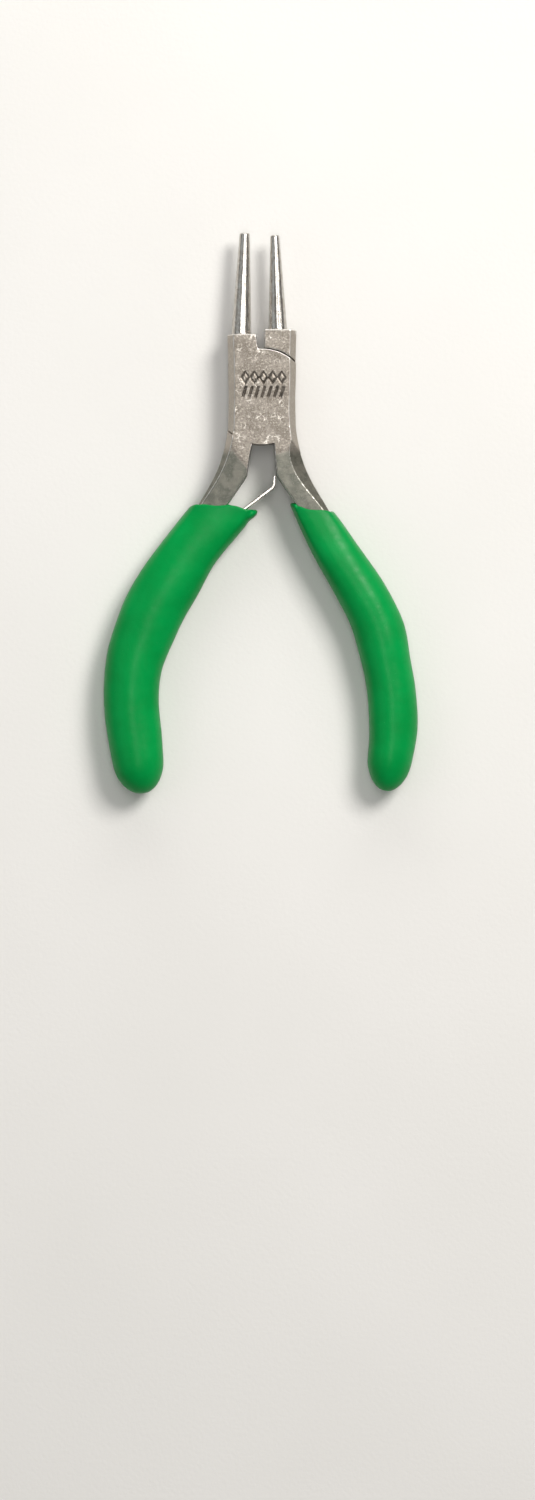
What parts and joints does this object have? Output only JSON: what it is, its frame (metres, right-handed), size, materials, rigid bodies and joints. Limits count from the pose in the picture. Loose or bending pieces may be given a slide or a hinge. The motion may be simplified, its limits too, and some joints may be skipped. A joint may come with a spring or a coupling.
{
  "type": "round nose pliers",
  "caption": "Small round nose pliers: two tapered round jaws on a lap joint, bowed dipped grips and a leaf spring that holds them open.",
  "frame": {"origin": "on the pivot axis, at the rear ground face of the joint", "axes": "+Z along the pivot axis towards the front face, +Y towards the jaw tips, +X to the right as seen from the front"},
  "size_m": [0.0491, 0.0877, 0.008],
  "materials": {
    "forged_steel": "ground faces, polished jaws",
    "rivet_steel": "ground flush",
    "spring_steel": "bright rolled strip",
    "grip_vinyl": "smooth dipped vinyl, glossy"
  },
  "bodies": {
    "rear_lever": {"rear_half": "forged_steel", "pivot_rivet": "rivet_steel", "left_grip": "grip_vinyl", "leaf_spring": "spring_steel", "spring_rivet": "rivet_steel"},
    "front_lever": {"front_half": "forged_steel", "right_grip": "grip_vinyl"}
  },
  "joints": [
    {"name": "jaw_pivot", "type": "hinge", "parent": "rear_lever", "child": "front_lever", "pos_m": [0, 0, 0.003], "axis": [0, 0, 1], "range_deg": [-7, 16], "stiffness_Nm_per_rad": 1.2, "deforming": ["leaf_spring"]}
  ]
}
